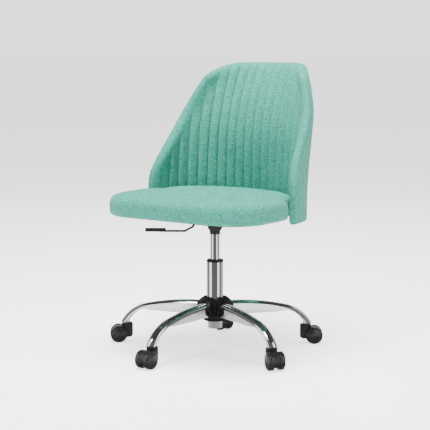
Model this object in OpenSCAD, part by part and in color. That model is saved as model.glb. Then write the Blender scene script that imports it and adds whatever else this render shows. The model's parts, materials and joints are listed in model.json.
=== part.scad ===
// Armless swivel office chair: five-leg arched base, gas lift, padded seat and winged back.
// The floor is z = 0, the gas lift stands on the Z axis, and the sitter faces -Y.

/* [Base] */
// Radius of the circle that the caster stems stand on
stem_circle_r = 290; // [282:1:294]
// Direction of the first leg, in degrees from +X
first_leg_angle = -92.8; // [-110:0.1:-80]
// Height of the legs' upper edge at the hub
leg_top_z = 148; // [146:1:150]
// Width of a leg's channel
leg_w = 30; // [28:1:31]
// Wall thickness of the leg's sheet
leg_wall = 2; // [1.6:0.1:2.5]

/* [Casters] */
// Radius of a caster wheel
wheel_r = 26.5; // [25:0.5:27]
// Distance from the swivel axis back to the wheel axle
caster_trail = 27; // [26:0.5:28]
// Width across the two wheels of a caster
caster_w = 54; // [50:1:58]
// Directions in which the casters trail at rest, one for each leg, in degrees from +X
trail_angles = [-90.4, -34.4, 33.6, -19.4, -139.4];

/* [Gas lift] */
// Radius of the outer tube
column_r = 25; // [24.5:0.1:25.5]
// Height of the outer tube's lower end
column_bottom_z = 66; // [64:0.5:68]
// Height of the outer tube's upper end
column_top_z = 268; // [262:1:270]
// Radius of the sliding pressure tube
lift_r = 14; // [13.8:0.1:14.2]

/* [Seat] */
// Height of the seat's underside
seat_bottom_z = 415.7; // [415:0.1:417]
// Height of the seat's crown
seat_top_z = 480; // [474:1:486]
// Half of the seat's width
seat_half_w = 272; // [264:1:276]
// Front edge of the seat, forward of the column
seat_front = 247; // [240:1:256]
// Plan radius of the seat's front corners
seat_corner_r = 120; // [90:5:140]

/* [Back] */
// Overall height of the chair
total_h = 861; // [850:1:870]
// Height of the back's lower edge
back_bottom_z = 397; // [394:1:400]
// Distance from the column to the front face of the back's middle
back_middle_y = 198; // [194:1:202]
// Thickness of the back in its middle
back_t = 42; // [36:1:46]
// Thickness of the wings
wing_t = 30; // [26:1:34]

/* [Lever] */
// Radius of the lever's rod
lever_r = 3.5; // [3:0.1:4]

/* [Hidden] */
$fn = 64;

chrome = "gainsboro";
steel = "silver";
black = "dimgray";
fabric = "mediumaquamarine";
ply = "burlywood";

// ---- Legs: two arcs in the leg's own upright plane, x outwards from the column ----
legs = 5;
leg_r = leg_w / 2;
long_arc_r = 800;
long_arc_x = 40;
long_arc_z = leg_top_z - long_arc_r;
bend_r = 131.5;
bend_start = 13.4;
bend_end = 60;
bend_x = long_arc_x + (long_arc_r - bend_r) * sin(bend_start);
bend_z = long_arc_z + (long_arc_r - bend_r) * cos(bend_start);
leg_depth = 22;
bend_swell = 0.1;
hub_r = 29;
keel_half_w = leg_r - leg_wall + 0.5;
keel_bottom_z = leg_top_z - 42;
socket_mouth_z = 63.5;
leg_end_z = 61.5;
socket_r = 8.5;
stem_r = 5;
stem_top_z = 79;

function leg_angle(n) = first_leg_angle + 360 / legs * (n - 1);

// Section of the leg's channel: a half-round top with straight flanges, at radius r from the arc's centre
module channel_section(r, depth, half_w) {
    crown_r = r - leg_r;
    difference() {
        translate([crown_r, 0]) circle(r = half_w);
        translate([crown_r - leg_w, -leg_w]) square([leg_w, 2 * leg_w]);
    }
    translate([r - depth, -half_w]) square([depth - leg_r, 2 * half_w]);
}

// Sweeps the channel round the Y axis, from start to end degrees away from the upright
module channel_arc(x, z, r, start, end, depth, swell) {
    translate([x, 0, z]) rotate([90, 0, 0]) rotate([0, 0, 90 - end])
        rotate_extrude(angle = end - start, $fn = 180) difference() {
            channel_section(r, depth + swell, leg_r + swell);
            channel_section(r, depth + 5, leg_r - leg_wall - swell);
        }
}

// Cuts the flanges away towards the bend
module flange_taper() {
    rotate([90, 0, 0]) linear_extrude(height = leg_w + 4, center = true)
        polygon([[150, leg_top_z - 29.6], [225, leg_top_z - 37], [240, leg_top_z - 38.5], [240, 80], [150, 80]]);
}

module keel_outline(inset) {
    polygon([[15, keel_bottom_z + inset], [205, keel_bottom_z + inset], [232, keel_bottom_z + 4.5 + inset],
             [232, leg_top_z - 32], [15, leg_top_z - 18]]);
}

// Folded stiffening plate that closes the channel from below
module keel() {
    difference() {
        rotate([90, 0, 0]) linear_extrude(height = 2 * keel_half_w, center = true) keel_outline(0);
        rotate([90, 0, 0]) linear_extrude(height = 2 * (keel_half_w - leg_wall), center = true)
            translate([0, 3]) keel_outline(leg_wall - 3);
    }
}

// Tube that holds the caster's stem, welded into the end of the leg
module stem_socket() {
    intersection() {
        translate([stem_circle_r, 0, socket_mouth_z]) cylinder(r = socket_r, h = 30);
        translate([bend_x, 0, bend_z]) rotate([90, 0, 0]) cylinder(r = bend_r - 3.5, h = 40, center = true);
    }
}

module leg(n) {
    color(chrome) rotate([0, 0, leg_angle(n)]) difference() {
        union() {
            difference() {
                channel_arc(long_arc_x, long_arc_z, long_arc_r, -1.8, bend_start, leg_depth, 0);
                flange_taper();
            }
            channel_arc(bend_x, bend_z, bend_r, bend_start - 0.5, bend_end, leg_r, bend_swell);
            keel();
            stem_socket();
        }
        translate([0, 0, 60]) cylinder(r = hub_r, h = 120);
        translate([240, -leg_w, 0]) cube([100, 2 * leg_w, leg_end_z]);
        translate([stem_circle_r, 0, socket_mouth_z - 1]) cylinder(r = stem_r, h = stem_top_z - socket_mouth_z + 1.5);
    }
}

// ---- Hub ----
column_cone_top_z = 150;
column_bottom_r = column_r - 3.8;
hub_bottom_z = 94;
hub_top_z = 142;

function column_outer_r(z) = column_bottom_r
    + (column_r - column_bottom_r) * (z - column_bottom_z) / (column_cone_top_z - column_bottom_z);

// The outer tube's tapered lower part, between two heights
module column_cone(z0, z1) {
    translate([0, 0, z0])
        cylinder(r1 = column_outer_r(z0), r2 = column_outer_r(z1), h = z1 - z0);
}

module hub_sleeve() {
    color(steel) difference() {
        translate([0, 0, hub_bottom_z]) cylinder(r = hub_r, h = hub_top_z - hub_bottom_z);
        column_cone(hub_bottom_z - 1, hub_top_z + 1);
    }
}

cover_r = 56;
cover_crown_x = 14;
cover_crown_z = 120.8;
cover_crown_r = 45.3;
cover_rim_z = 130;
cover_neck_r = 47;
cover_neck_z = 101;
cover_bottom_z = 97;
cover_wall = 4;
cover_gap = 0.3;

// Arched bar along +X: a half round of radius r standing on a box of the given depth
module arched_bar(r, depth, length) {
    rotate([90, 0, 90]) linear_extrude(height = length) union() {
        circle(r = r);
        translate([-r, -depth]) square([2 * r, depth]);
    }
}

// Space that one leg takes up inside the cover
module leg_passage() {
    crown_z = leg_top_z - leg_r;
    translate([0, 0, crown_z]) arched_bar(leg_r + cover_gap, crown_z - keel_bottom_z + cover_gap, cover_r + 5);
}

// Arched tunnel over one leg root, sloping down outwards
module cover_tunnel() {
    crown_z = leg_top_z - leg_r;
    translate([0, 0, crown_z + 15]) rotate([0, 8, 0]) arched_bar(leg_r + cover_wall, 38, cover_r + 5);
}

module hub_cover() {
    color(black) difference() {
        intersection() {
            union() {
                translate([0, 0, cover_bottom_z]) cylinder(r = 34, h = 57);
                for (n = [1 : legs]) rotate([0, 0, leg_angle(n)]) cover_tunnel();
            }
            rotate_extrude() intersection() {
                translate([cover_crown_x, cover_crown_z]) circle(r = cover_crown_r);
                polygon([[0, cover_bottom_z], [cover_neck_r, cover_bottom_z], [cover_neck_r, cover_neck_z],
                         [cover_r, cover_rim_z], [cover_r, cover_crown_z + cover_crown_r + 5],
                         [0, cover_crown_z + cover_crown_r + 5]]);
            }
        }
        for (n = [1 : legs]) rotate([0, 0, leg_angle(n)]) leg_passage();
        translate([0, 0, cover_bottom_z - 1]) cylinder(r = hub_r + cover_gap, h = hub_top_z - cover_bottom_z + 1.3);
        cylinder(r = column_r + cover_gap, h = 200);
    }
}

module hub_ring() {
    color(black) rotate_extrude() polygon([
        [column_outer_r(hub_bottom_z) + cover_gap, hub_bottom_z], [column_outer_r(hub_bottom_z) + cover_gap, 91],
        [34.5, 90.2], [36, 91.5], [36, 93.5], [33.5, cover_bottom_z], [hub_r, cover_bottom_z], [hub_r, hub_bottom_z]]);
}

// ---- Gas lift ----
column_wall = 2.1;
floor_z = column_bottom_z + 2.5;
floor_t = 3.5;
floor_hole_r = 6.5;
race_z = floor_z + floor_t;
race_t = 1.5;
race_r = 13;
ball_r = 2;
balls = 10;
ball_circle_r = 9.2;
washer_z = race_z + race_t + 2 * ball_r - 0.3 + 0.05;
washer_t = 1.5;
bumper_z = washer_z + washer_t;
bumper_h = 10;
rod_r = 5;
running_gap = 0.05;
clip_z = floor_z - 1.1;
clip_t = 1;
clip_groove_r = 3.8;
lift_bottom_z = 172;
lift_end_t = 8;
piston_z = lift_bottom_z + lift_end_t + 0.5;
piston_h = 10;
lift_wall = 1.5;
taper_z = 353;
lift_top_z = 391;
lift_top_r = 13;
pin_r = 2.5;
pin_z = 377;
pin_top_z = 395.1;

module column_tube() {
    color(chrome) rotate_extrude() polygon([
        [column_bottom_r - column_wall, column_bottom_z], [column_bottom_r, column_bottom_z],
        [column_r, column_cone_top_z], [column_r, column_top_z], [column_r - column_wall, column_top_z],
        [column_r - column_wall, column_cone_top_z + 2], [column_outer_r(race_z) - column_wall, race_z],
        [floor_hole_r, race_z], [floor_hole_r, floor_z], [column_outer_r(floor_z) - column_wall, floor_z]]);
}

ring_h = 7;
bush_h = 78;

module guide_bush() {
    bore_r = lift_r + running_gap;
    ring_top_z = column_top_z + ring_h;
    color(black) rotate_extrude() polygon([
        [bore_r, column_top_z - bush_h], [column_r - column_wall, column_top_z - bush_h],
        [column_r - column_wall, column_top_z], [column_r + 0.3, column_top_z],
        [column_r + 0.3, ring_top_z - 2], [column_r - 1.7, ring_top_z], [bore_r, ring_top_z]]);
}

module washer_ring(z, t, inner_r, outer_r) {
    translate([0, 0, z]) difference() {
        cylinder(r = outer_r, h = t);
        translate([0, 0, -1]) cylinder(r = inner_r, h = t + 2);
    }
}

module bearing_race() {
    color(steel) union() {
        washer_ring(race_z, race_t, rod_r + 0.5, race_r);
        for (k = [0 : balls - 1]) rotate([0, 0, 360 / balls * k])
            translate([ball_circle_r, 0, race_z + race_t + ball_r - 0.3]) sphere(r = ball_r, $fn = 32);
    }
}

module rubber_bumper() {
    color(black) washer_ring(bumper_z, bumper_h, rod_r, race_r);
}

module piston_rod() {
    color(steel) union() {
        translate([0, 0, clip_z - 1.4]) cylinder(r = rod_r, h = 1.4);
        translate([0, 0, clip_z]) cylinder(r = clip_groove_r, h = clip_t);
        translate([0, 0, clip_z + clip_t]) cylinder(r = rod_r, h = piston_z - clip_z - clip_t);
        translate([0, 0, piston_z]) cylinder(r = lift_r - lift_wall - running_gap, h = piston_h);
    }
}

module bearing_washer() {
    color(steel) washer_ring(washer_z, washer_t, rod_r, race_r);
}

module retaining_clip() {
    color(steel) washer_ring(clip_z, clip_t, clip_groove_r, rod_r + 4);
}

module lift_taper(z0, z1) {
    r0 = lift_r + (lift_top_r - lift_r) * (z0 - taper_z) / (lift_top_z - taper_z);
    r1 = lift_r + (lift_top_r - lift_r) * (z1 - taper_z) / (lift_top_z - taper_z);
    translate([0, 0, z0]) cylinder(r1 = r0, r2 = r1, h = z1 - z0);
}

module gas_cylinder() {
    cavity_z = lift_bottom_z + lift_end_t;
    color(chrome) difference() {
        union() {
            translate([0, 0, lift_bottom_z]) cylinder(r = lift_r, h = taper_z - lift_bottom_z);
            lift_taper(taper_z, lift_top_z);
        }
        translate([0, 0, cavity_z]) cylinder(r = lift_r - lift_wall, h = 345 - cavity_z);
        translate([0, 0, 344]) cylinder(r = 10, h = lift_top_z - 10 - 344);
        translate([0, 0, lift_bottom_z - 1]) cylinder(r = rod_r + running_gap, h = lift_end_t + 2);
        translate([0, 0, lift_top_z - 12]) cylinder(r = pin_r + running_gap, h = 14);
    }
}

module valve_pin() {
    color(steel) translate([0, 0, pin_z]) cylinder(r = pin_r, h = pin_top_z - pin_z);
}

// ---- Mechanism under the seat ----
collar_r = 16;
collar_z = 352;
flare_z = 361;
flare_top_z = 370;
flare_r = 22;
pan_z = 383;
pan_half_w = 55;
pan_wall = 2.5;
plate_t = 3;
plate_top_z = seat_bottom_z - 1.3;
plate_z = plate_top_z - plate_t;
plate_half_x = 95;
plate_half_y = 75;
bolt_x = 78;
bolt_y = 58;
bolt_r = 3;
pivot_x = -45;
pivot_z = pan_z + 8;
pivot_r = 2.5;
ear_t = 3;
ear_y = 7;

module mechanism_socket() {
    color(black) difference() {
        rotate_extrude() polygon([[0, collar_z], [collar_r - 1, collar_z], [collar_r, collar_z + 1], [collar_r, flare_z],
                                  [flare_r, flare_top_z], [flare_r, pan_z], [0, pan_z]]);
        translate([0, 0, collar_z - 1]) cylinder(r = lift_r, h = taper_z - collar_z + 1);
        lift_taper(taper_z, lift_top_z);
    }
}

module pan_ears() {
    for (side = [-1, 1]) translate([pivot_x, side * (ear_y + ear_t / 2), pan_z + pan_wall]) difference() {
        translate([-6, -ear_t / 2, -0.5]) cube([12, ear_t, 12]);
        translate([0, 0, pivot_z - pan_z - pan_wall]) rotate([90, 0, 0]) cylinder(r = pivot_r, h = 10, center = true);
    }
}

module mechanism_plate() {
    inner = pan_half_w - pan_wall;
    color(black) union() {
        difference() {
            translate([-pan_half_w, -pan_half_w, pan_z])
                cube([2 * pan_half_w, 2 * pan_half_w, plate_z - pan_z]);
            translate([-inner, -inner, pan_z + pan_wall]) cube([2 * inner, 2 * inner, plate_z - pan_z]);
            translate([0, 0, pan_z - 1]) cylinder(r = lift_r + 1, h = pan_wall + 2);
            translate([-pan_half_w - 1, -6, pan_z + pan_wall]) cube([pan_wall + 2, 12, 17]);
        }
        pan_ears();
        difference() {
            translate([-plate_half_x, -plate_half_y, plate_z]) cube([2 * plate_half_x, 2 * plate_half_y, plate_t]);
            for (x = [-bolt_x, bolt_x], y = [-bolt_y, bolt_y])
                translate([x, y, plate_z - 1]) cylinder(r = bolt_r + 0.4, h = plate_t + 2);
        }
    }
}

// Hexagon bolt, head down, with its head's top face at z
module hex_bolt(x, y, z, length) {
    translate([x, y, z - 4.2]) cylinder(r = 5.8, h = 4.2, $fn = 6);
    translate([x, y, z - 0.1]) cylinder(r = bolt_r, h = length + 0.1);
}

module mechanism_bolts() {
    color(steel) for (x = [-bolt_x, bolt_x], y = [-bolt_y, bolt_y]) hex_bolt(x, y, plate_z, 14);
}

module lever_pin() {
    color(steel) translate([pivot_x, 0, pivot_z]) rotate([90, 0, 0])
        cylinder(r = pivot_r, h = 2 * (ear_y + ear_t) + 2, center = true);
}

// ---- Lever ----
grip_tip_x = -265;
grip_inner_x = -189;
rod_bend_r = 10;
lever_path = [[-212, 343], [-114, 351], [-84, 366], [-66, pivot_z], [pivot_x, pivot_z]];
finger_z = pin_top_z + 0.3;

function heading(a, b) = atan2(b[1] - a[1], b[0] - a[0]);
function turn(path, k) = heading(path[k], path[k + 1]) - heading(path[k - 1], path[k]);
function trim(path, k) = k == 0 || k == len(path) - 1 ? 0 : rod_bend_r * tan(abs(turn(path, k)) / 2);

// Round rod along a path of x and z points, with a bend at each inner point
module bent_rod(path, r) {
    rotate([90, 0, 0]) {
        for (k = [0 : len(path) - 2])
            translate(path[k]) rotate([0, 0, heading(path[k], path[k + 1])]) translate([trim(path, k), 0, 0])
                rotate([0, 90, 0])
                    cylinder(r = r, h = norm(path[k + 1] - path[k]) - trim(path, k) - trim(path, k + 1));
        for (k = [1 : len(path) - 2]) {
            before = heading(path[k - 1], path[k]);
            after = heading(path[k], path[k + 1]);
            side = turn(path, k) > 0 ? 1 : -1;
            translate(path[k]) rotate([0, 0, before]) translate([-trim(path, k), side * rod_bend_r, 0])
                rotate([0, 0, (side > 0 ? 0 : after - before) - side * 90])
                    rotate_extrude(angle = abs(after - before)) translate([rod_bend_r, 0]) circle(r = r);
        }
    }
}

module lever_rod() {
    barrel_r = 5;
    color(black) difference() {
        union() {
            bent_rod(lever_path, lever_r);
            translate([pivot_x, 0, pivot_z]) rotate([90, 0, 0]) cylinder(r = barrel_r, h = 2 * ear_y - 1, center = true);
            translate([pivot_x, -4, finger_z]) cube([6 - pivot_x, 8, 4]);
        }
        translate([pivot_x, 0, pivot_z]) rotate([90, 0, 0])
            cylinder(r = pivot_r + running_gap, h = 30, center = true);
    }
}

// Flat paddle with rounded ends and a crowned top
module lever_grip() {
    grip_w = 24;
    grip_z = 337;
    grip_h = 11;
    crown_r = 58;
    length = grip_inner_x - grip_tip_x;
    slope = -4.7;
    color(black) difference() {
        translate([grip_tip_x, 0, grip_z]) rotate([0, slope, 0]) intersection() {
            linear_extrude(height = grip_h) union() {
                translate([9, -grip_w / 2 + 3]) square([length - 26, grip_w - 6]);
                translate([9, 0]) circle(r = grip_w / 2 - 3);
                translate([length - 17, 0]) circle(r = grip_w / 2 - 3);
                translate([length - 16, -5]) square([16, 10]);
            }
            translate([length / 2, 0, grip_h - crown_r]) rotate([0, 90, 0])
                cylinder(r = crown_r, h = length + 20, center = true);
        }
        translate([lever_path[0][0], 0, lever_path[0][1]]) rotate([0, 90 + slope, 0]) cylinder(r = lever_r, h = 60);
    }
}

// ---- Seat ----
side_corner_r = 35;
seat_joint_y = 12;
seat_gap = 3;
board_inset = 24;
board_t = 12;
back_power = 2.25;

// One quarter arc of a plan outline
function arc(x, y, r, from, to, steps) = [for (k = [0 : steps])
    [x + r * cos(from + (to - from) * k / steps), y + r * sin(from + (to - from) * k / steps)]];

function mirrored(points) = [for (k = [len(points) - 1 : -1 : 0]) [-points[k][0], points[k][1]]];

// Right half of the seat's front part, from the front centre round to its rear corner
function seat_front_half(inset) = concat(
    arc(seat_half_w - seat_corner_r, seat_corner_r - seat_front, seat_corner_r - inset, -90, 0, 10),
    arc(seat_half_w - side_corner_r, seat_joint_y - side_corner_r, side_corner_r - inset, 0, 90, 6));

// Right half of the seat's rear part, which follows the inside of the back
function seat_rear_half(inset) = let (
    half_w = wing_half_w(back_bottom_z) - wing_t - seat_gap - inset,
    reach = back_middle_y - seat_gap - inset - wing_front_y(back_bottom_z))
    concat([[half_w, seat_joint_y - 70]],
           [for (k = [0 : 10]) [half_w * pow(cos(9 * k), 2 / back_power),
                                wing_front_y(back_bottom_z) + reach * pow(sin(9 * k), 2 / back_power)]]);

module seat_slice(z, inset, rear) {
    half = rear ? seat_rear_half(inset) : seat_front_half(inset);
    translate([0, 0, z]) linear_extrude(height = 0.01) polygon(concat(half, mirrored(half)));
}

module seat_pad(rear) {
    hull() {
        seat_slice(seat_bottom_z, 8, rear);
        seat_slice(seat_bottom_z + 8, 1, rear);
        seat_slice(seat_bottom_z + 30, 0, rear);
        seat_slice(seat_top_z - 22, 1, rear);
        seat_slice(seat_top_z - 10, 7, rear);
        seat_slice(seat_top_z - 0.01, 28, rear);
    }
}

module board_outline(inset) {
    for (rear = [false, true]) {
        half = rear ? seat_rear_half(inset) : seat_front_half(inset);
        polygon(concat(half, mirrored(half)));
    }
}

module seat_cushion() {
    color(fabric) difference() {
        union() {
            seat_pad(false);
            seat_pad(true);
        }
        translate([0, 0, seat_bottom_z - 1]) linear_extrude(height = board_t + 1) board_outline(board_inset);
    }
}

module seat_board() {
    color(ply) difference() {
        translate([0, 0, seat_bottom_z]) linear_extrude(height = board_t) board_outline(board_inset + 0.3);
        for (x = [-bolt_x, bolt_x], y = [-bolt_y, bolt_y])
            translate([x, y, seat_bottom_z - 1]) cylinder(r = bolt_r + 0.2, h = board_t + 2);
        for (side = [-1, 1], y = strap_bolt_y)
            translate([side * strap_x, y, seat_bottom_z - 1]) cylinder(r = bolt_r + 0.2, h = board_t + 2);
    }
}

module dust_cover() {
    color(black) difference() {
        translate([0, 0, plate_top_z]) linear_extrude(height = seat_bottom_z - plate_top_z) board_outline(14);
        for (x = [-bolt_x, bolt_x], y = [-bolt_y, bolt_y])
            translate([x, y, plate_top_z - 1]) cylinder(r = bolt_r + 0.4, h = 4);
        for (side = [-1, 1], y = strap_bolt_y)
            translate([side * strap_x, y, plate_top_z - 1]) cylinder(r = bolt_r + 0.4, h = 4);
    }
}

// ---- Back: the wings' half width and front edge, as [height, value] ----
wing_width_line = [[514, 272], [569, 258], [640, 247], [714, 235], [789, 204], [861, 160]];
wing_front_line = [[514, 15], [569, 43], [640, 98], [714, 151], [789, 186], [861, 214]];
lean_start_z = 595;
lean_rate = 0.00125;
lean_soften = 20;
columns = 28;
rows = 14;
shell_front = 0.43;
shell_rear = 0.24;
top_t_loss = 10;
corner_drop = 45;
corner_power = 4;

function softened(z, line) =
    (lookup(z - lean_soften, line) + 2 * lookup(z, line) + lookup(z + lean_soften, line)) / 4;
function wing_half_w(z) = softened(z, wing_width_line);
function wing_front_y(z) = softened(z, wing_front_line);
function middle_y(z) = back_middle_y + lean_rate * pow(max(0, z - lean_start_z), 2);
function middle_t(z) = back_t - top_t_loss * max(0, z - 650) / (total_h - 650);

// Point of the back at a plan angle a, height z and depth: 0 is the rear face and 1 the front face
function back_point(a, z, depth) = let (
    half_w = wing_half_w(z) - wing_t * depth,
    reach = middle_y(z) + middle_t(z) * (1 - depth) - wing_front_y(z),
    side = cos(a) < 0 ? -1 : 1)
    [side * half_w * pow(abs(cos(a)), 2 / back_power), wing_front_y(z) + reach * pow(abs(sin(a)), 2 / back_power), z];

function column_angle(i) = 180 * i / columns;
function top_z(i) = total_h - corner_drop * pow(abs(1 - 2 * i / columns), corner_power);
function row_z(i, j) = back_bottom_z + (top_z(i) - back_bottom_z) * j / rows;

// Closed layer of the back between two depths
module back_layer(front, rear) {
    wide = columns + 1;
    count = wide * (rows + 1);
    grid = [for (depth = [rear, front], j = [0 : rows], i = [0 : columns])
            back_point(column_angle(i), row_z(i, j), depth)];
    rear_faces = [for (j = [0 : rows - 1], i = [0 : columns - 1]) let (p = j * wide + i)
                  each [[p, p + 1, p + wide + 1], [p, p + wide + 1, p + wide]]];
    front_faces = [for (j = [0 : rows - 1], i = [0 : columns - 1]) let (p = count + j * wide + i)
                   each [[p, p + wide + 1, p + 1], [p, p + wide, p + wide + 1]]];
    lower = [for (i = [0 : columns - 1]) let (p = i)
             each [[p, count + p + 1, p + 1], [p, count + p, count + p + 1]]];
    upper = [for (i = [0 : columns - 1]) let (p = rows * wide + i)
             each [[p, p + 1, count + p + 1], [p, count + p + 1, count + p]]];
    right = [for (j = [0 : rows - 1]) let (p = j * wide)
             each [[p, p + wide, count + p + wide], [p, count + p + wide, count + p]]];
    left = [for (j = [0 : rows - 1]) let (p = j * wide + columns)
            each [[p, count + p + wide, p + wide], [p, count + p, count + p + wide]]];
    polyhedron(points = grid, faces = concat(rear_faces, front_faces, lower, upper, right, left));
}

// ---- Straps that hold the back to the seat board ----
strap_t = 3;
strap_top_z = 470;
strap_first = 10;
strap_last = 11;
strap_z = plate_top_z - strap_t;
strap_x = -(back_point(column_angle(columns - strap_first), back_bottom_z, 1)[0]
          + back_point(column_angle(columns - strap_last), back_bottom_z, 1)[0]) / 2;
strap_half_w = 14;
strap_gap = 0.4;
strap_start_y = 90;
strap_bolt_y = [110, 140];

function strap_corner(i) = let (p = back_point(column_angle(i), back_bottom_z, shell_front)) [p[0], p[1]];

// Plan of a band along the shell's front face between two of its columns, given by its two distances in front of it
module strap_plan(near, far) {
    first = strap_corner(strap_first);
    last = strap_corner(strap_last);
    polygon([first - [0, near], last - [0, near], last - [0, far], first - [0, far]]);
}

module back_strap() {
    difference() {
        union() {
            translate([0, 0, strap_z]) linear_extrude(height = strap_top_z - strap_z)
                strap_plan(strap_gap, strap_gap + strap_t);
            intersection() {
                translate([strap_x - strap_half_w, strap_start_y, strap_z])
                    cube([2 * strap_half_w, 200, strap_t]);
                translate([0, 0, strap_z - 1]) linear_extrude(height = strap_t + 2) strap_plan(strap_gap, 200);
            }
        }
        for (y = strap_bolt_y) translate([strap_x, y, strap_z - 1]) cylinder(r = bolt_r + 0.4, h = 8);
    }
}

module back_strap_left() { color(black) back_strap(); }
module back_strap_right() { color(black) mirror([1, 0, 0]) back_strap(); }

module strap_bolts() {
    color(steel) for (side = [-1, 1], y = strap_bolt_y) hex_bolt(side * strap_x, y, strap_z, 14);
}

module back_shell() { color(ply) back_layer(shell_front, shell_rear); }
module back_cover() { color(fabric) back_layer(shell_rear, 0); }

// Room in the cushion for the straps: a slot for each upright, and a notch below the seat
module strap_pockets() {
    for (side = [0, 1]) mirror([side, 0, 0]) {
        translate([0, 0, back_bottom_z - 1]) linear_extrude(height = strap_top_z + 1 - back_bottom_z)
            strap_plan(-5, 2 * strap_gap + strap_t);
        translate([0, 0, back_bottom_z - 1]) linear_extrude(height = seat_bottom_z + 1 - back_bottom_z)
            strap_plan(-5, 60);
    }
}

module back_cushion() {
    color(fabric) difference() {
        back_layer(1, shell_front);
        strap_pockets();
    }
}

// ---- Casters: x runs back along the trail, from the swivel axis ----
hood_top_z = 60;
hood_r = 17;
web_half_w = 8;
axle_r = 3;
wheel_inner_y = web_half_w + 0.5;
wheel_outer_y = caster_w / 2;

module at_caster(n) {
    rotate([0, 0, leg_angle(n)]) translate([stem_circle_r, 0, 0])
        rotate([0, 0, trail_angles[n - 1] - leg_angle(n)]) children();
}

module at_axle() {
    translate([caster_trail, 0, wheel_r]) rotate([90, 0, 0]) children();
}

// Hood on the swivel axis, with a web and a rounded back between the two wheels
module caster_housing(n) {
    back_r = wheel_r - 1;
    clear_r = wheel_r + 0.9;
    color(black) at_caster(n) difference() {
        union() {
            translate([0, 0, 19]) cylinder(r = hood_r, h = hood_top_z - 21);
            translate([0, 0, hood_top_z - 2]) cylinder(r1 = hood_r, r2 = hood_r - 2, h = 2);
            translate([0, 0, 15]) cylinder(r1 = hood_r - 5, r2 = hood_r, h = 4);
            at_axle() cylinder(r = wheel_r - 6, h = 2 * web_half_w, center = true);
            translate([0, -web_half_w, wheel_r]) cube([caster_trail, 2 * web_half_w, back_r - 0.5]);
            at_axle() rotate([0, 0, -14]) rotate_extrude(angle = 108)
                translate([5, 0.2 - web_half_w]) square([back_r - 5, 2 * web_half_w - 0.4]);
        }
        for (side = [-1, 1]) translate([0, side * (web_half_w + 25), 0]) at_axle()
            cylinder(r = clear_r, h = 50, center = true);
        translate([0, 0, 30]) cylinder(r = stem_r + running_gap, h = 40);
        at_axle() cylinder(r = axle_r, h = 60, center = true);
    }
}

module caster_stems() {
    color(steel) for (n = [1 : legs]) at_caster(n) union() {
        translate([0, 0, 31]) cylinder(r = stem_r, h = stem_top_z - 31);
        translate([0, 0, hood_top_z + 0.2]) cylinder(r = 8, h = socket_mouth_z - hood_top_z - 0.2);
    }
}

module caster_axle(n) {
    color(steel) at_caster(n) at_axle() cylinder(r = axle_r, h = 2 * wheel_outer_y - 7, center = true);
}

// Half of a wheel's section: radius against distance from the caster's middle
function wheel_section() = concat(
    [[0, wheel_outer_y - 3], [axle_r + running_gap, wheel_outer_y - 3], [axle_r + running_gap, wheel_inner_y],
     [7, wheel_inner_y], [7, wheel_outer_y - 8], [wheel_r - 6, wheel_outer_y - 8], [wheel_r - 6, wheel_inner_y]],
    arc(wheel_r - 1.5, wheel_inner_y + 1.5, 1.5, -90, 0, 4),
    arc(wheel_r - 4, wheel_outer_y - 7.5, 4, 0, 80, 8),
    [[wheel_r - 3.8, wheel_outer_y - 3.9], [wheel_r - 4.4, wheel_outer_y - 3.9], [wheel_r - 4.8, wheel_outer_y - 3]],
    [for (k = [0 : 8]) [(wheel_r - 5.2) * (1 - k / 8), wheel_outer_y - 3 * pow(1 - k / 8, 2)]]);

module wheel(n, side) {
    color(black) at_caster(n) at_axle() mirror([0, 0, side > 0 ? 1 : 0]) rotate_extrude() polygon(wheel_section());
}

leg(1);  // leg_1
leg(2);  // leg_2
leg(3);  // leg_3
leg(4);  // leg_4
leg(5);  // leg_5
hub_sleeve();
hub_cover();
hub_ring();
column_tube();
guide_bush();
bearing_race();
rubber_bumper();
caster_stems();
piston_rod();
bearing_washer();
retaining_clip();
gas_cylinder();
mechanism_socket();
mechanism_plate();
mechanism_bolts();
lever_pin();
seat_board();
seat_cushion();
dust_cover();
back_shell();
back_cushion();
back_cover();
back_strap_left();
back_strap_right();
strap_bolts();
lever_rod();
lever_grip();
valve_pin();
caster_housing(1);  // caster_housing_1
caster_housing(2);  // caster_housing_2
caster_housing(3);  // caster_housing_3
caster_housing(4);  // caster_housing_4
caster_housing(5);  // caster_housing_5
caster_axle(1);  // caster_axle_1
caster_axle(2);  // caster_axle_2
caster_axle(3);  // caster_axle_3
caster_axle(4);  // caster_axle_4
caster_axle(5);  // caster_axle_5
wheel(1, -1);  // wheel_left_1
wheel(2, -1);  // wheel_left_2
wheel(3, -1);  // wheel_left_3
wheel(4, -1);  // wheel_left_4
wheel(5, -1);  // wheel_left_5
wheel(1, 1);  // wheel_right_1
wheel(2, 1);  // wheel_right_2
wheel(3, 1);  // wheel_right_3
wheel(4, 1);  // wheel_right_4
wheel(5, 1);  // wheel_right_5
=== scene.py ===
"""Looks of the swivel office chair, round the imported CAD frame: upholstery, materials, studio and camera."""
import json
import math

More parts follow.
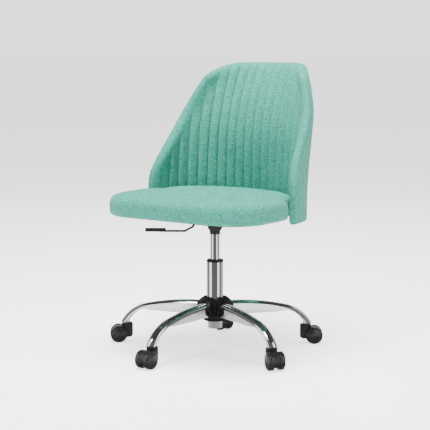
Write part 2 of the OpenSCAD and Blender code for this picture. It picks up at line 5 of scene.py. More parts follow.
import bpy
import numpy as np
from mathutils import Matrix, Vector


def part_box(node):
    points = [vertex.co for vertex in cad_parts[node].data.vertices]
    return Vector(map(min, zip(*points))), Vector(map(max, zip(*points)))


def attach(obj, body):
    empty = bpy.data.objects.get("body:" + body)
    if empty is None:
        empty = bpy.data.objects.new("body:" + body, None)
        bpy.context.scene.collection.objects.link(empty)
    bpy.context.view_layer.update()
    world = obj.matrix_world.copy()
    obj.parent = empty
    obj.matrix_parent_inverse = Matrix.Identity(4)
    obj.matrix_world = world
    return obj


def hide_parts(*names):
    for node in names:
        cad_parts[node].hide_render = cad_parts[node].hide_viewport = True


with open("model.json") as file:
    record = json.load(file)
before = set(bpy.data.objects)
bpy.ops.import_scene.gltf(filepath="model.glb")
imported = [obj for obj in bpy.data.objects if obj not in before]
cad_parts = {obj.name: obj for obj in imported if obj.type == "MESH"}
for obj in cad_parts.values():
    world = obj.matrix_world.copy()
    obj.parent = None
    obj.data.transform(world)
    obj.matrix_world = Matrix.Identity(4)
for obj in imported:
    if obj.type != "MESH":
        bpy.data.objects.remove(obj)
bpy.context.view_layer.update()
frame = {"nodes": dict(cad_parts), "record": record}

MM = 0.001

# ---------------------------------------------------------------- the back's shape, close to the CAD's

BACK_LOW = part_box("back_cover")[0]
BACK_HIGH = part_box("back_cover")[1]
SEAT_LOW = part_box("seat_cushion")[0]
SEAT_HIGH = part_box("seat_cushion")[1]
BACK_BOTTOM = BACK_LOW.z
BACK_TOP = BACK_HIGH.z
BACK_MIDDLE_Y = 198 * MM
BACK_T = 42 * MM
WING_T = 30 * MM
# Exponents of the plan curve near the foot and higher up, and the heights between which they change over
POWER = 2 / 2.25
UPPER_POWER = 2 / 2.75
POWER_CHANGE = (470 * MM, 620 * MM)
# Half width of the back, and the front edge of its wings, at each height, in millimetres
WING_WIDTH = ((390, 272), (514, 272), (569, 258), (640, 247), (714, 235), (789, 204), (861, 160), (880, 148))
WING_FRONT = ((390, 15), (514, 15), (569, 43), (640, 98), (714, 151), (789, 186), (861, 214), (880, 223))
# Step, in millimetres, of the blur that rounds the corners of those two lines
SOFTEN = 26
# The middle of the back leans rearwards above a height, and it thins towards the top
LEAN_START = 595 * MM
LEAN_RATE = 1.25
THIN_START = 650 * MM
TOP_THIN = 10 * MM
# The top edge falls towards its corners
CORNER_DROP = 42 * MM
CORNER_POWER = 4.2

# Upholstery of the back: its pleats' width, number and depth, and the round of their ends
PLEAT = 31 * MM
PLEATS_A_SIDE = 10
PLEAT_DEPTH = 14 * MM
PLEAT_END = 9 * MM
# Part of the depth that lies under the plain surface
PLEAT_LEVEL = 0.9
# A lean under 1 puts the crown to one side of the pleat, and a fullness under 1 makes the pleat rounder
PLEAT_LEAN = 0.5
PLEAT_FULLNESS = 0.65
# The pleats fade out towards the wings' edges, and partly towards the top
SIDE_FADE = (6 * MM, 100 * MM)
TOP_FADE = 40 * MM
TOP_SHARE = 0.6
# How far the pleated part stands out as a whole
SWELL = 2 * MM

# Upholstery of the back: its rounded edges and its seam
PLAIN_EDGE = 18 * MM
FRONT_ROLL = 26 * MM
FOOT_ROLL = 12 * MM
REAR_ROLL = 9 * MM
SEAM_DEPTH = 0.3
SEAM_DIP = 1.8 * MM
SEAM_WIDTH = 2.2 * MM
LINING_DEPTH = 0.03

# Fineness of the back's grid of points, and of the map that places them
COLUMNS_A_PLEAT = 14
PLAIN_COLUMNS = 12
EDGE_COLUMNS = 14
FOOT_ROWS = 10
FOOT_BAND = 20 * MM
TOP_ROWS = 14
TOP_BAND = 24 * MM
MIDDLE_ROWS = 72
MAP_MARGIN = 10 * MM
MAP_ROWS = 100
MAP_COLUMNS = 801
MAP_ANGLES = 1601


def smooth(x, low, high):
    """Rises from 0 at low to 1 at high, level at both ends."""
    t = np.clip((x - low) / (high - low), 0, 1)
    return t * t * (3 - 2 * t)


def softened(z, line):
    """A line of (height, value) points in millimetres, rounded at its corners, at heights z in metres."""
    heights, values = np.array(line, float).T
    z = np.asarray(z) / MM
    offsets = (-1.5, -1, -0.5, 0, 0.5, 1, 1.5)
    weights = (1, 2, 3, 4, 3, 2, 1)
    total = sum(w * np.interp(z + o * SOFTEN, heights, values) for o, w in zip(offsets, weights))
    return total / sum(weights) * MM


def back_point(a, z, depth):
    """Point of the back at plan angle a and height z. Depth 0 is the rear face and 1 the front face."""
    front_y = softened(z, WING_FRONT)
    half_w = softened(z, WING_WIDTH) - WING_T * depth
    thick = BACK_T - TOP_THIN * np.clip((z - THIN_START) / (BACK_TOP - THIN_START), 0, 1)
    middle_y = BACK_MIDDLE_Y + LEAN_RATE * np.clip(z - LEAN_START, 0, None) ** 2
    reach = middle_y + thick * (1 - depth) - front_y
    power = POWER + (UPPER_POWER - POWER) * smooth(z, *POWER_CHANGE)
    x = np.sign(np.cos(a)) * half_w * np.abs(np.cos(a)) ** power
    y = front_y + reach * np.abs(np.sin(a)) ** power
    return np.stack([x, y, z + 0 * x], -1)


class BackMap:
    """Finds the plan angle at a fraction, -1 to 1, of the way along the back's front face at a height."""

    def __init__(self):
        self.heights = np.linspace(BACK_BOTTOM - MAP_MARGIN, BACK_TOP + MAP_MARGIN, MAP_ROWS)
        self.fractions = np.linspace(-1, 1, MAP_COLUMNS)
        angles = np.linspace(math.pi, 0, MAP_ANGLES)
        self.half_lengths = np.zeros(len(self.heights))
        self.table = np.zeros((len(self.heights), len(self.fractions)))
        for k, z in enumerate(self.heights):
            points = back_point(angles, z, 1.0)
            steps = np.linalg.norm(np.diff(points, axis=0), axis=1)
            length = np.concatenate([[0], np.cumsum(steps)])
            self.half_lengths[k] = length[-1] / 2
            self.table[k] = np.interp(self.fractions, length / length[-1] * 2 - 1, angles)

    def half_length(self, z):
        return np.interp(z, self.heights, self.half_lengths)

    def angle(self, fraction, z):
        row = (z - self.heights[0]) / (self.heights[1] - self.heights[0])
        row = np.clip(row, 0, len(self.heights) - 1.001)
        low = row.astype(int)
        column = np.clip((fraction + 1) / 2 * (len(self.fractions) - 1), 0, len(self.fractions) - 1.001)
        left = column.astype(int)
        up, along = row - low, column - left
        lower = self.table[low, left] * (1 - along) + self.table[low, left + 1] * along
        upper = self.table[low + 1, left] * (1 - along) + self.table[low + 1, left + 1] * along
        return lower * (1 - up) + upper * up


def roll(distance, radius):
    """Height of a rounded edge, from 0 at the edge to 1 from radius inwards."""
    return np.sqrt(np.clip(1 - (1 - np.clip(distance / radius, 0, 1)) ** 2, 0, 1))


def edge_steps(width, count):
    """Distances from an edge, close together at the edge and reaching width."""
    return [width * (k / count) ** 2 for k in range(count + 1)]


def column_places(longest):
    """Distances from the middle of the back at which the cloth's columns of vertices run at its foot."""
    half = []
    for pleat in range(PLEATS_A_SIDE):
        for m in range(COLUMNS_A_PLEAT):
            half.append(PLEAT * (pleat + (1 - math.cos(math.pi * m / COLUMNS_A_PLEAT)) / 2))
    plain_start = PLEAT * PLEATS_A_SIDE
    plain = longest - PLAIN_EDGE - plain_start
    half += [plain_start + plain * k / PLAIN_COLUMNS for k in range(PLAIN_COLUMNS)]
    half += [longest - d for d in reversed(edge_steps(PLAIN_EDGE, EDGE_COLUMNS))]
    half = np.array(half)
    return np.concatenate([-half[:0:-1], half])


def row_places():
    """Fractions of the height for the cloth's rows, closer together at the foot and the top."""
    height = BACK_TOP - BACK_BOTTOM
    foot = [d / height for d in edge_steps(FOOT_BAND, FOOT_ROWS)]
    top = [1 - d / height for d in reversed(edge_steps(TOP_BAND, TOP_ROWS))]
    middle = np.linspace(foot[-1], top[0], MIDDLE_ROWS)[1:-1]
    return np.concatenate([foot, middle, top])


def pleat_height(s):
    """Height of the tucked pleats at a distance s along the face: 0 in a groove and 1 on a crown."""
    x = np.mod(s / PLEAT, 1.0)
    return np.sin(math.pi * x ** PLEAT_LEAN) ** PLEAT_FULLNESS


class BackCloth:
    """The grid of points that both faces of the back share."""

    def __init__(self):
        mapping = BackMap()
        longest = mapping.half_length(BACK_BOTTOM)
        s0 = column_places(longest)
        v = row_places()
        top_z = np.full(len(s0), BACK_TOP)
        for _ in range(4):
            half = mapping.half_length(top_z)
            angle = mapping.angle(self.squeezed(s0, half, longest) / half, top_z)
            top_z = BACK_TOP - CORNER_DROP * np.abs(1 - 2 * angle / math.pi) ** CORNER_POWER
        self.z = BACK_BOTTOM + (top_z - BACK_BOTTOM)[None, :] * v[:, None]
        half = mapping.half_length(self.z)
        self.s = self.squeezed(np.broadcast_to(s0, self.z.shape), half, longest)
        self.angle = mapping.angle(self.s / half, self.z)
        self.side = half - np.abs(self.s)
        self.above = top_z[None, :] - self.z
        self.below = self.z - BACK_BOTTOM
        self.seam = back_point(self.angle, self.z, SEAM_DEPTH)
        self.front = back_point(self.angle, self.z, 1.0) - self.seam
        self.rear = back_point(self.angle, self.z, 0.0) - self.seam
        self.front_normal = self.front / np.linalg.norm(self.front, axis=-1, keepdims=True)

    @staticmethod
    def squeezed(s0, half, longest):
        """Places on a shorter row: unchanged in its middle, and pressed together in its plain edge."""
        free = half - PLAIN_EDGE
        outer = free + (np.abs(s0) - free) * PLAIN_EDGE / np.maximum(longest - free, PLAIN_EDGE)
        return np.sign(s0) * np.where(np.abs(s0) <= free, np.abs(s0), outer)

    def seam_dip(self):
        """Draws the cloth in along the seam, which runs round the wings' edges and over the top."""
        nearest = np.minimum(np.minimum(self.side, self.above), self.below)
        amount = SEAM_DIP * np.exp(-(nearest / SEAM_WIDTH) ** 2)
        up = np.exp(-(self.above / FRONT_ROLL) ** 2) - np.exp(-(self.below / FRONT_ROLL) ** 2)
        out = np.exp(-(self.side / FRONT_ROLL) ** 2)
        direction = np.stack([0 * up, -out, up], -1)
        length = np.maximum(np.linalg.norm(direction, axis=-1, keepdims=True), 1e-6)
        return -direction / length * amount[..., None]

    def front_rounding(self):
        """Share of the thickness that the front face has, rounded off towards every edge."""
        return roll(self.side, FRONT_ROLL) * roll(self.above, FRONT_ROLL) * roll(self.below, FOOT_ROLL)

    def front_face(self):
        rounding = self.front_rounding()
        fade = smooth(self.side, *SIDE_FADE) * (TOP_SHARE + (1 - TOP_SHARE) * smooth(self.above, 0, TOP_FADE))
        edge = roll(self.above, PLEAT_END) * roll(self.below, PLEAT_END)
        dip = PLEAT_DEPTH * fade * (PLEAT_LEVEL - pleat_height(self.s)) * edge
        swell = SWELL * fade * rounding
        lift = (swell - dip)[..., None] * self.front_normal
        return self.seam + self.front * rounding[..., None] + lift + self.seam_dip()

    def rear_face(self):
        rounding = roll(self.side, REAR_ROLL) * roll(self.above, REAR_ROLL) * roll(self.below, REAR_ROLL)
        return self.seam + self.rear * rounding[..., None] + self.seam_dip()

    def lining(self, toward):
        """Hidden inner side of a pad, just off the seam surface."""
        return self.seam + toward * LINING_DEPTH * self.front_rounding()[..., None] + self.seam_dip()


def closed_pad(name, face, lining, flip):
    """Closed mesh of two grids of points that share their border."""
    rows, columns = face.shape[:2]
    index = np.arange(rows * columns).reshape(rows, columns)
    inner = np.full((rows, columns), -1)
    border = np.zeros((rows, columns), bool)
    border[0, :] = border[-1, :] = border[:, 0] = border[:, -1] = True
    inner[border] = index[border]
    inner[~border] = rows * columns + np.arange((~border).sum())
    points = np.concatenate([face.reshape(-1, 3), lining[~border]])
    faces = []
    for grid, turned in ((index, flip), (inner, not flip)):
        a, b, c, d = grid[:-1, :-1], grid[:-1, 1:], grid[1:, 1:], grid[1:, :-1]
        quads = np.stack([a, b, c, d] if not turned else [a, d, c, b], -1).reshape(-1, 4)
        faces += quads.tolist()
    return make_object(name, points.tolist(), faces)


def make_object(name, points, faces):
    mesh = bpy.data.meshes.new(name)
    mesh.from_pydata(points, [], faces)
    mesh.validate()
    mesh.shade_smooth()
    piece = bpy.data.objects.new(name, mesh)
    bpy.context.scene.collection.objects.link(piece)
    return piece


# ---------------------------------------------------------------- the seat's shape

SEAT_HALF_W = SEAT_HIGH.x
SEAT_FRONT = SEAT_LOW.y
SEAT_BOTTOM = SEAT_LOW.z
SEAT_CORNER = 120 * MM
REAR_CORNER = 35 * MM
JOINT_Y = 12 * MM
SEAT_GAP = 3.5 * MM
SEAT_CENTRE = np.array([0, -20 * MM])
# Each ring of the side: how far in from the outline, and how high over the foot, in millimetres
SEAT_SIDE = ((30, 0), (9, 0), (5, 1.2), (2.6, 4.5), (1.0, 14), (0.4, 27), (1.2, 39), (4.5, 48), (11, 54.5),
             (20, 58.3), (30, 60))
SIDE_INSET, SIDE_HEIGHT = (value * MM for value in SEAT_SIDE[-1])
CROWN = 4.3 * MM
# Sizes of the rings inside the last ring of the side, as shares of it
INNER_RINGS = (0.85, 0.68, 0.5, 0.32, 0.16)

# The cloth simulation that fills the seat
CLOTH_VOXEL = 5.5 * MM
CLOTH_PRESSURE = 4.0
CLOTH_FRAMES = 20
PINNED_HEIGHT = 2.5 * MM
# How far the filling may move a point, and how much more it may away from the rear and on top
CLOTH_MOVE = 0.9 * MM
FRONT_MOVE = 0.9 * MM
TOP_MOVE = 0.7 * MM
REAR_BAND = 50 * MM
TOP_BAND_HEIGHTS = (45 * MM, 58 * MM)


def arc_points(x, y, radius, start, end, count):
    angles = np.radians(np.linspace(start, end, count))
    return np.stack([x + radius * np.cos(angles), y + radius * np.sin(angles)], -1)


def even_loop(points, count):
    """Spreads points evenly along a closed outline."""
    closed = np.concatenate([points, points[:1]])
    length = np.concatenate([[0], np.cumsum(np.linalg.norm(np.diff(closed, axis=0), axis=1))])
    places = np.arange(count) / count * length[-1]
    return np.stack([np.interp(places, length, closed[:, k]) for k in (0, 1)], -1)


def seat_outline(count=360):
    """Plan outline of the seat, counter-clockwise from the front's middle."""
    front = arc_points(SEAT_HALF_W - SEAT_CORNER, SEAT_FRONT + SEAT_CORNER, SEAT_CORNER, -90, 0, 30)
    corner = arc_points(SEAT_HALF_W - REAR_CORNER, JOINT_Y - REAR_CORNER, REAR_CORNER, 0, 90, 14)
    inner_half_w = softened(BACK_BOTTOM, WING_WIDTH) - WING_T - SEAT_GAP
    front_y = softened(BACK_BOTTOM, WING_FRONT)
    reach = BACK_MIDDLE_Y - SEAT_GAP - front_y
    turn = np.linspace(0, math.pi / 2, 40)
    rear = np.stack([inner_half_w * np.cos(turn) ** POWER, front_y + reach * np.sin(turn) ** POWER], -1)
    half = np.concatenate([front, corner, rear])
    loop = even_loop(np.concatenate([half, half[-2:0:-1] * (-1, 1)]), count)
    for _ in range(6):
        loop = loop * 0.5 + (np.roll(loop, 1, 0) + np.roll(loop, -1, 0)) * 0.25
    return loop


def inward(loop, distance):
    """The outline drawn in by a distance."""
    ahead, behind = np.roll(loop, -1, 0), np.roll(loop, 1, 0)
    along = ahead - behind
    normal = np.stack([-along[:, 1], along[:, 0]], -1)
    normal /= np.linalg.norm(normal, axis=1, keepdims=True)
    return loop + normal * distance


def seat_mesh():
    """Closed pad: a flat foot, sides that pull in at the foot and a low crown on top."""
    loop = seat_outline()
    count = len(loop)

    def ring(plan, height):
        return np.column_stack([plan, np.full(count, SEAT_BOTTOM + height)])

    inner = inward(loop, SIDE_INSET) - SEAT_CENTRE
    foot = [ring(SEAT_CENTRE + inner * share, 0) for share in reversed(INNER_RINGS)]
    side = [ring(inward(loop, inset * MM), height * MM) for inset, height in SEAT_SIDE]
    top = [ring(SEAT_CENTRE + inner * share, SIDE_HEIGHT + CROWN * (1 - share ** 3)) for share in INNER_RINGS]
    rings = foot + side + top
    lowest = [[*SEAT_CENTRE, SEAT_BOTTOM]]
    highest = [[*SEAT_CENTRE, SEAT_BOTTOM + SIDE_HEIGHT + CROWN]]
    points = np.concatenate(rings + [lowest, highest])
    faces = []
    for r in range(len(rings) - 1):
        for k in range(count):
            n = (k + 1) % count
            faces.append((r * count + k, r * count + n, (r + 1) * count + n, (r + 1) * count + k))
    low = len(rings) * count
    high = low + 1
    last = low - count
    for k in range(count):
        n = (k + 1) % count
        faces.append((low, n, k))
        faces.append((high, last + k, last + n))
    return make_object("seat_upholstery", points.tolist(), faces)


def coordinates(mesh):
    values = np.zeros(len(mesh.vertices) * 3)
    mesh.vertices.foreach_get("co", values)
    return values.reshape(-1, 3)


def apply_modifiers(piece):
    graph = bpy.context.evaluated_depsgraph_get()
    graph.update()
    mesh = bpy.data.meshes.new_from_object(piece.evaluated_get(graph), depsgraph=graph)
    piece.modifiers.clear()
    piece.data = mesh
    mesh.shade_smooth()


def allowed_move(points):
    """How far the filling may move each point: least at the rear, next to the back, and most on top."""
    rear = smooth(points[:, 1], JOINT_Y - REAR_BAND, JOINT_Y)
    low, high = TOP_BAND_HEIGHTS
    top = smooth(points[:, 2], SEAT_BOTTOM + low, SEAT_BOTTOM + high)
    return CLOTH_MOVE + FRONT_MOVE * (1 - rear) + TOP_MOVE * top


def inflate(piece):
    """Fills the seat pad by cloth simulation, with its foot pinned."""
    rest = coordinates(piece.data)
    group = piece.vertex_groups.new(name="pin")
    foot = np.nonzero(rest[:, 2] < SEAT_BOTTOM + PINNED_HEIGHT)[0]
    group.add(foot.tolist(), 1.0, "REPLACE")
    cloth = piece.modifiers.new("cloth", "CLOTH")
    settings = cloth.settings
    settings.quality = 5
    settings.mass = 0.3
    settings.tension_stiffness = 18
    settings.compression_stiffness = 12
    settings.shear_stiffness = 8
    settings.bending_stiffness = 2.5
    settings.use_pressure = True
    settings.uniform_pressure_force = CLOTH_PRESSURE
    settings.vertex_group_mass = "pin"
    settings.effector_weights.gravity = 0
    cloth.collision_settings.use_collision = False
    scene = bpy.context.scene
    for number in range(1, CLOTH_FRAMES + 1):
        scene.frame_set(number)
    graph = bpy.context.evaluated_depsgraph_get()
    swollen = coordinates(piece.evaluated_get(graph).data)
    piece.modifiers.clear()
    piece.vertex_groups.clear()
    scene.frame_set(1)
    move = swollen - rest
    distance = np.linalg.norm(move, axis=1)
    move *= np.minimum(1, allowed_move(rest) / np.maximum(distance, 1e-9))[:, None]
    piece.data.vertices.foreach_set("co", (rest + move).ravel())
    piece.data.update()


def seat_cushion():
    piece = seat_mesh()
    remesh = piece.modifiers.new("remesh", "REMESH")
    remesh.mode = "VOXEL"
    remesh.voxel_size = CLOTH_VOXEL
    apply_modifiers(piece)
    inflate(piece)
    soften = piece.modifiers.new("soften", "CORRECTIVE_SMOOTH")
    soften.iterations = 2
    soften.use_only_smooth = True
    detail = piece.modifiers.new("detail", "SUBSURF")
    detail.levels = 1
    apply_modifiers(piece)
    return piece


# ---------------------------------------------------------------- materials

class Nodes:
    """Short names for making a material's nodes."""

    def __init__(self, name):
        self.material = bpy.data.materials.new(name)
        self.material.use_nodes = True
        self.tree = self.material.node_tree
        self.shader = self.tree.nodes["Principled BSDF"]

    def add(self, kind, inputs=None, **settings):
        node = self.tree.nodes.new(kind)
        for key, value in settings.items():
            setattr(node, key, value)
        for key, value in (inputs or {}).items():
            if isinstance(value, bpy.types.NodeSocket):
                self.tree.links.new(value, node.inputs[key])
            else:
                node.inputs[key].default_value = value
        return node

    def math(self, operation, a, b=0.0):
        return self.add("ShaderNodeMath", {0: a, 1: b}, operation=operation).outputs[0]

    def place(self, scale=(1, 1, 1)):
        coordinate = self.add("ShaderNodeTexCoord").outputs["Object"]
        return self.add("ShaderNodeMapping", {"Vector": coordinate, "Scale": scale}).outputs[0]

    def noise(self, scale, detail=2.0, stretch=(1, 1, 1), roughness=0.5):
        where = self.place(stretch)
        node = self.add("ShaderNodeTexNoise", {"Vector": where, "Scale": scale, "Detail": detail,
                                               "Roughness": roughness})
        return node.outputs[0]

    def ramp(self, value, stops):
        node = self.add("ShaderNodeValToRGB", {0: value})
        elements = node.color_ramp.elements
        while len(elements) < len(stops):
            elements.new(0.5)
        for element, (position, colour) in zip(elements, stops):
            element.position = position
            element.color = (*colour, 1)
        return node.outputs[0]

    def mix(self, factor, a, b, blend="MIX"):
        node = self.tree.nodes.new("ShaderNodeMix")
        node.data_type = "RGBA"
        node.blend_type = blend
        for index, value in ((0, factor), (6, a), (7, b)):
            if isinstance(value, bpy.types.NodeSocket):
                self.tree.links.new(value, node.inputs[index])
            else:
                node.inputs[index].default_value = (*value, 1) if index else value
        return node.outputs[2]

    def spread(self, value, low, high):
        return self.add("ShaderNodeMapRange", {0: value, 3: low, 4: high}).outputs[0]

    def finish(self, colour=None, roughness=None, bump=None, strength=0.3, distance=0.0005, **constants):
        for socket, value in (("Base Color", colour), ("Roughness", roughness)):
            if isinstance(value, bpy.types.NodeSocket):
                self.tree.links.new(value, self.shader.inputs[socket])
            elif value is not None:
                self.shader.inputs[socket].default_value = (*value, 1) if socket == "Base Color" else value
        if bump is not None:
            node = self.add("ShaderNodeBump", {"Height": bump, "Strength": strength, "Distance": distance})
            self.tree.links.new(node.outputs[0], self.shader.inputs["Normal"])
        for key, value in constants.items():
            self.shader.inputs[key.replace("_", " ")].default_value = value
        return self.material


def weave_height(n, pitch):
    """Plain weave of threads with the given pitch, on whichever two axes lie in the surface."""
    where = n.add("ShaderNodeSeparateXYZ", {0: n.place()})
    facing = n.add("ShaderNodeSeparateXYZ", {0: n.add("ShaderNodeTexCoord").outputs["Normal"]})
    waves = [n.math("SINE", n.math("MULTIPLY", where.outputs[k], 2 * math.pi / pitch)) for k in range(3)]
    total = None
    for axis, (p, q) in enumerate(((1, 2), (0, 2), (0, 1))):
        share = n.math("POWER", n.math("ABSOLUTE", facing.outputs[axis]), 3.0)
        part = n.math("MULTIPLY", n.math("MULTIPLY", waves[p], waves[q]), share)
        total = part if total is None else n.math("ADD", total, part)
    return total


def fabric_material(name, dark, middle, light):
    n = Nodes(name)
    fleck = n.noise(900, 3.0, roughness=0.7)
    slub_up = n.noise(1.0, 2.0, (760, 760, 70))
    slub_round = n.noise(1.0, 2.0, (90, 90, 760))
    blotch = n.noise(14, 2.0)
    threads = n.math("ADD", n.math("MULTIPLY", slub_up, 0.5), n.math("MULTIPLY", slub_round, 0.5))
    mixed = n.math("ADD", n.math("MULTIPLY", fleck, 0.55), n.math("MULTIPLY", threads, 0.45))
    colour = n.ramp(mixed, ((0.36, dark), (0.5, middle), (0.64, light)))
    shade = n.ramp(blotch, ((0.3, (0.96, 0.965, 0.965)), (0.7, (1.0, 1.0, 1.0))))
    colour = n.mix(1.0, colour, shade, "MULTIPLY")
    weave = weave_height(n, 1.5 * MM)
    height = n.math("ADD", n.math("MULTIPLY", weave, 0.35), n.math("MULTIPLY", mixed, 1.4))
    return n.finish(colour, 0.92, height, 0.5, 0.0007, Sheen_Weight=0.08, Sheen_Roughness=0.5,
                    Specular_IOR_Level=0.15)


def chrome_material():
    n = Nodes("chrome_plating")
    smudge = n.noise(30, 4.0)
    fine = n.noise(420, 2.0)
    roughness = n.spread(smudge, 0.05, 0.13)
    colour = n.ramp(smudge, ((0.3, (0.78, 0.79, 0.81)), (0.7, (0.86, 0.87, 0.88))))
    return n.finish(colour, roughness, fine, 0.02, 0.0002, Metallic=1.0)


def steel_material():
    n = Nodes("zinc_steel")
    brush = n.noise(1.0, 3.0, (300, 300, 4000))
    colour = n.ramp(brush, ((0.3, (0.42, 0.42, 0.43)), (0.7, (0.56, 0.56, 0.57))))
    return n.finish(colour, n.spread(brush, 0.28, 0.42), brush, 0.08, 0.0002, Metallic=1.0)


def grained_material(name, dark, light, grain, roughness, bump, coat=0.0, metallic=0.0):
    """Moulded plastic or paint: a fine grain, faint scuffs and a little unevenness of gloss."""
    n = Nodes(name)
    fine = n.noise(grain, 3.0)
    scuff = n.noise(55, 4.0, roughness=0.7)
    colour = n.mix(n.spread(scuff, 0.0, 1.0), dark, light)
    low, high = roughness
    return n.finish(colour, n.spread(scuff, low, high), fine, bump, 0.0003, Metallic=metallic,
                    Coat_Weight=coat, Coat_Roughness=0.15, Specular_IOR_Level=0.3)


def wood_material():
    n = Nodes("beech_ply")
    grain = n.noise(1.0, 4.0, (60, 60, 900))
    colour = n.ramp(grain, ((0.3, (0.36, 0.21, 0.10)), (0.7, (0.62, 0.43, 0.25))))
    return n.finish(colour, 0.6, grain, 0.2, 0.0004)


def floor_material():
    n = Nodes("pale_floor")
    tone = n.noise(3.0, 2.0)
    colour = n.ramp(tone, ((0.3, (0.86, 0.86, 0.86)), (0.7, (0.88, 0.88, 0.88))))
    return n.finish(colour, 0.6, Emission_Color=(1, 1, 1, 1), Emission_Strength=FLOOR_GLOW)


MINT_DARK = (0.004, 0.075, 0.051)
MINT_MIDDLE = (0.019, 0.195, 0.140)
MINT_LIGHT = (0.115, 0.47, 0.375)


def grey(level):
    """A neutral colour."""
    return (level, level, level)


def make_materials():
    return {
        "mint_fabric": fabric_material("mint_linen", MINT_DARK, MINT_MIDDLE, MINT_LIGHT),
        "dust_cloth": fabric_material("black_dust_cloth", grey(0.012), grey(0.02), grey(0.035)),
        "chrome": chrome_material(),
        "steel": steel_material(),
        "black_plastic": grained_material("black_nylon", grey(0.006), grey(0.014), 1500, (0.34, 0.5), 0.25),
        "wheel_plastic": grained_material("wheel_nylon", grey(0.007), grey(0.014), 900, (0.2, 0.34), 0.08,
                                          0.2),
        "black_paint": grained_material("black_powder_coat", grey(0.01), grey(0.02), 1100, (0.35, 0.5), 0.35),
        "rubber": grained_material("buffer_rubber", grey(0.01), grey(0.02), 500, (0.7, 0.85), 0.2),
        "plywood": wood_material(),
    }


def dress_nodes(materials):
    """Gives every CAD node that stays the material of its slot."""
    for entry in frame["record"]["subparts"]:
        node = frame["nodes"][entry["node"]]
        node.data.materials.clear()
        node.data.materials.append(materials[entry["material_slot"]])


# ---------------------------------------------------------------- upholstery

def add_upholstery(materials):
    cloth = BackCloth()
    pad = closed_pad("back_front_pad", cloth.front_face(), cloth.lining(cloth.front), False)
    cover = closed_pad("back_rear_cover", cloth.rear_face(), cloth.lining(cloth.rear), True)
    seat = seat_cushion()
    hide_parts("back_cushion", "back_shell")
    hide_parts("back_cover")
    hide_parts("seat_cushion")
    for piece, fill in ((pad, 0.7), (cover, 0.4), (seat, 0.8)):
        piece.data.materials.clear()
        piece.data.materials.append(materials["mint_fabric"])
        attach(piece, "seat")


# ---------------------------------------------------------------- floor, light and camera

VIEW_AZIMUTH = math.radians(35.5)
VIEW_ELEVATION = math.radians(7.6)
VIEW_DISTANCE = 4.0
VIEW_HEIGHT = 0.409
VIEW_LENS = 111.7
SENSOR_WIDTH = 36
# The world's strength, and its greys over and under the white horizon
HORIZON = 2.1
CEILING = 0.03
GROUND = 0.10
FLOOR_R = 60
FLOOR_GLOW = 1.75
SCREEN_R = 0.6
SCREEN_H = 0.46
LAMP_AIM_HEIGHT = 0.4
# Each lamp: name, azimuth and elevation in degrees, distance, size, power in watts, seen in the chrome or not
LAMPS = (
    ("key", -14, 42, 3.2, 0.8, 50, True),
    ("top", 20, 84, 3.0, 1.8, 410, False),
    ("fill", 82, 30, 3.5, 1.4, 30, False),
    ("rear", 215, 30, 3.5, 1.8, 22, False),
)
# Grey of the screen round the chair, at degrees of azimuth from the camera's
SCREEN_STRIPS = ((-180, 0.5), (-128, 0.4), (-120, 0.12), (-84, 0.1), (-76, 1.0), (-50, 1.0), (-44, 0.06),
                 (18, 0.06), (30, 0.03), (36, 1.0), (58, 1.0), (64, 0.06), (92, 0.12), (112, 0.4), (180, 0.5))


def on_sphere(azimuth, elevation, distance, height):
    """Point seen from the given azimuth (0 is in front, along -Y) and elevation."""
    flat = math.cos(elevation) * distance
    rise = math.sin(elevation) * distance
    return Vector((math.sin(azimuth) * flat, -math.cos(azimuth) * flat, height + rise))


def aim(piece, target):
    piece.rotation_euler = (Vector(target) - piece.location).to_track_quat("-Z", "Y").to_euler()


def add_camera():
    camera = bpy.data.objects.new("camera", bpy.data.cameras.new("camera"))
    bpy.context.scene.collection.objects.link(camera)
    camera.location = on_sphere(VIEW_AZIMUTH, VIEW_ELEVATION, VIEW_DISTANCE, VIEW_HEIGHT)
    aim(camera, (0, 0, VIEW_HEIGHT))
    camera.data.lens = VIEW_LENS
    camera.data.sensor_width = SENSOR_WIDTH
    bpy.context.scene.camera = camera


def add_light(name, azimuth, elevation, distance, size, power, mirrored):
    data = bpy.data.lights.new(name, "AREA")
    data.size = size
    data.energy = power
    lamp = bpy.data.objects.new(name, data)
    bpy.context.scene.collection.objects.link(lamp)
    lamp.location = on_sphere(math.radians(azimuth), math.radians(elevation), distance, LAMP_AIM_HEIGHT)
    aim(lamp, (0, 0, LAMP_AIM_HEIGHT))
    lamp.visible_glossy = mirrored


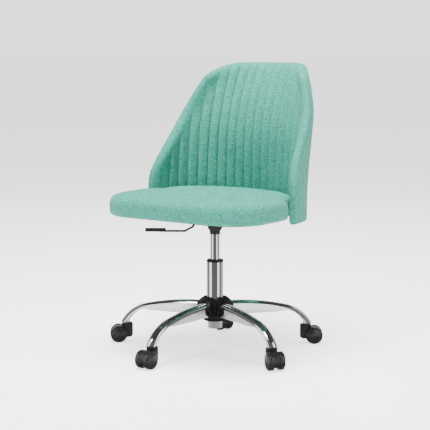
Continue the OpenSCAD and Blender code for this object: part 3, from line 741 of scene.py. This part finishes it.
def add_world():
    """White horizon between a dark ceiling and a dark ground, for the chrome to mirror."""
    world = bpy.data.worlds.new("studio")
    bpy.context.scene.world = world
    world.use_nodes = True
    tree = world.node_tree
    direction = tree.nodes.new("ShaderNodeTexCoord")
    split = tree.nodes.new("ShaderNodeSeparateXYZ")
    height = tree.nodes.new("ShaderNodeMapRange")
    height.inputs[1].default_value = -1
    ramp = tree.nodes.new("ShaderNodeValToRGB")
    tree.links.new(direction.outputs["Generated"], split.inputs[0])
    tree.links.new(split.outputs[2], height.inputs[0])
    tree.links.new(height.outputs[0], ramp.inputs[0])
    stops = ((0.0, GROUND), (0.34, GROUND), (0.46, 1.0), (0.55, 1.0), (0.66, CEILING), (1.0, CEILING))
    while len(ramp.color_ramp.elements) < len(stops):
        ramp.color_ramp.elements.new(0.5)
    for element, (position, level) in zip(ramp.color_ramp.elements, stops):
        element.position = position
        element.color = (*grey(level), 1)
    background = tree.nodes["Background"]
    tree.links.new(ramp.outputs[0], background.inputs[0])
    background.inputs[1].default_value = HORIZON


def screen_material():
    """Light and dark strips round the chair, as a product studio's screens and flags make."""
    n = Nodes("screen")
    where = n.add("ShaderNodeSeparateXYZ", {0: n.add("ShaderNodeTexCoord").outputs["Object"]})
    turn = n.math("ARCTAN2", where.outputs[0], n.math("MULTIPLY", where.outputs[1], -1.0))
    turn = n.math("SUBTRACT", turn, VIEW_AZIMUTH)
    place = n.math("FRACT", n.math("ADD", n.math("DIVIDE", turn, 2 * math.pi), 1.5))
    stops = [(0.5 + degrees / 360, grey(level)) for degrees, level in SCREEN_STRIPS]
    colour = n.ramp(place, stops)
    n.shader.inputs["Base Color"].default_value = (0, 0, 0, 1)
    n.tree.links.new(colour, n.shader.inputs["Emission Color"])
    n.shader.inputs["Emission Strength"].default_value = HORIZON
    return n.material


def add_screen():
    bpy.ops.mesh.primitive_cylinder_add(vertices=96, radius=SCREEN_R, depth=SCREEN_H,
                                        end_fill_type="NOTHING", location=(0, 0, SCREEN_H / 2))
    screen = bpy.context.object
    screen.name = "studio_screen"
    screen.data.materials.append(screen_material())
    screen.visible_camera = False
    screen.visible_diffuse = False
    screen.visible_shadow = False


def add_studio():
    bpy.ops.mesh.primitive_circle_add(vertices=96, radius=FLOOR_R, fill_type="NGON")
    floor = bpy.context.object
    floor.name = "studio_floor"
    floor.data.materials.append(floor_material())
    floor.visible_glossy = False
    add_world()
    add_screen()
    for lamp in LAMPS:
        add_light(*lamp)


finishes = make_materials()
dress_nodes(finishes)
add_upholstery(finishes)
add_studio()
add_camera()
